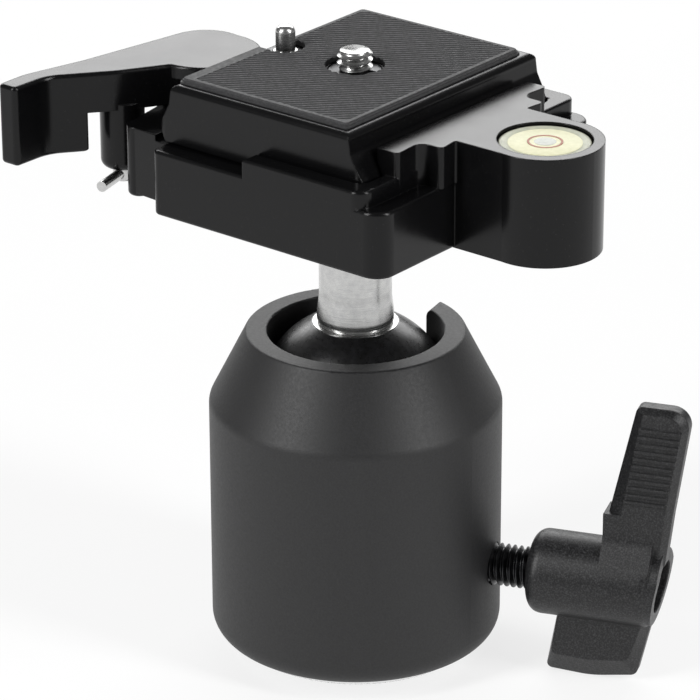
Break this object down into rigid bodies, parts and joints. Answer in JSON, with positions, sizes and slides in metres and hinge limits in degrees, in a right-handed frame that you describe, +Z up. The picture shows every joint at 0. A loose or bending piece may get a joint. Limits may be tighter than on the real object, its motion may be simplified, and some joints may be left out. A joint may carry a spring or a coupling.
{
  "type": "tripod ball head",
  "caption": "Tripod ball head: notched round housing with a side locking knob, ball with a stem, and a quick-release clamp with lever, round level and ribbed camera plate.",
  "frame": {"origin": "centre of the base disc's underside, on the tripod thread's axis", "axes": "+Z up along the housing and stem, +X along the plate's short side towards the round level, +Y along the plate's long side"},
  "size_m": [0.1078, 0.072, 0.1185],
  "materials": {
    "housing_coat": "fine bead-blasted satin charcoal black",
    "base_aluminium": "turned bright aluminium",
    "plain_aluminium": "plain turned aluminium",
    "white_nylon": "natural nylon",
    "spring_steel": "plain spring steel",
    "dark_steel": "blackened steel",
    "polished_steel": "polished bright steel",
    "knob_plastic": "black glass-filled plastic, faint speckle",
    "ball_black": "smooth black coating",
    "clamp_paint": "glossy black paint on a die casting",
    "pad_rubber": "dark grey ribbed rubber",
    "level_clear": "clear acrylic",
    "level_liquid": "pale yellow-green liquid",
    "level_air": "air bubble",
    "level_red": "printed red-brown ring",
    "level_yellow": "pale yellow-green backing"
  },
  "bodies": {
    "base": {"housing": "housing_coat", "base_plate": "base_aluminium", "ball_cup": "white_nylon", "disc_spring": "spring_steel"},
    "piston": {"lift_piston": "plain_aluminium"},
    "pin": {"pressure_pin": "dark_steel"},
    "knob": {"knob_screw": "dark_steel", "knob_body": "knob_plastic", "knob_end_screw": "dark_steel"},
    "dish": {"seat_dish": "white_nylon"},
    "ball": {"ball": "ball_black", "stem": "polished_steel", "stem_screw": "dark_steel", "stem_washer": "polished_steel"},
    "clamp": {"clamp_body": "clamp_paint", "level_case": "level_clear", "level_fluid": "level_liquid", "level_bubble": "level_air", "level_mark": "level_red", "level_backing": "level_yellow", "lever_washer": "dark_steel", "lever_spring": "spring_steel"},
    "lever": {"lever": "clamp_paint", "lever_pivot_screw": "dark_steel", "catch_spring": "spring_steel"},
    "catch": {"catch_spindle": "polished_steel", "catch_pin": "polished_steel"},
    "plate": {"plate_body": "clamp_paint", "plate_pad": "pad_rubber", "index_spring": "spring_steel", "index_plug": "plain_aluminium"},
    "camera_screw": {"camera_screw": "polished_steel", "screw_clip": "dark_steel"},
    "index_pin": {"index_pin": "polished_steel"}
  },
  "joints": [
    {"name": "pin_advance", "type": "slide", "parent": "base", "child": "pin", "axis": [0.9336, 0.3584, 0], "range_m": [0, 0.000937]},
    {"name": "knob_turn", "type": "hinge", "parent": "pin", "child": "knob", "pos_m": [0, 0, 0.0177], "axis": [0.9336, 0.3584, 0], "range_deg": [0, 270]},
    {"name": "piston_lift", "type": "slide", "parent": "base", "child": "piston", "axis": [0, 0, 1], "range_m": [-0.000542, 0], "deforming": ["disc_spring"]},
    {"name": "ball_side_tilt", "type": "hinge", "parent": "base", "child": "dish", "pos_m": [0, 0, 0.0466], "axis": [-0.225, 0.9744, 0], "range_deg": [-20, 20]},
    {"name": "ball_notch_tilt", "type": "hinge", "parent": "dish", "child": "ball", "pos_m": [0, 0, 0.0466], "axis": [-0.9744, -0.225, 0], "range_deg": [-20, 90]},
    {"name": "stem_turn", "type": "hinge", "parent": "ball", "child": "clamp", "pos_m": [0, 0, 0.0896], "axis": [0, 0, 1], "continuous": true},
    {"name": "lever_swing", "type": "hinge", "parent": "clamp", "child": "lever", "pos_m": [-0.03464, 0.00061, 0.1022], "axis": [0, 0, 1], "range_deg": [-80, 0], "stiffness_Nm_per_rad": 0.05, "springref_deg": 28.65},
    {"name": "catch_turn", "type": "hinge", "parent": "lever", "child": "catch", "pos_m": [-0.0383, -0.0195, 0.0977], "axis": [0, 0, 1], "range_deg": [-35, 0], "stiffness_Nm_per_rad": 0.01, "springref_deg": 28.65},
    {"name": "plate_lift", "type": "slide", "parent": "clamp", "child": "plate", "axis": [-0.4226, 0, 0.9063], "range_m": [0, 0.00706]},
    {"name": "camera_screw_turn", "type": "hinge", "parent": "plate", "child": "camera_screw", "pos_m": [0, 0, 0.1127], "axis": [0, 0, 1], "continuous": true},
    {"name": "index_pin_press", "type": "slide", "parent": "plate", "child": "index_pin", "axis": [0, 0, -1], "range_m": [0, 0.0035], "stiffness_N_per_m": 300, "springref_m": -0.003, "deforming": ["index_spring"]}
  ],
  "couplings": [
    {"joint": "knob_turn", "follows": "pin_advance", "rad_per_m": 5026.5},
    {"joint": "piston_lift", "follows": "pin_advance", "ratio": -0.57735},
    {"joint": "plate_lift", "follows": "lever_swing", "m_per_rad": -0.0050575}
  ]
}
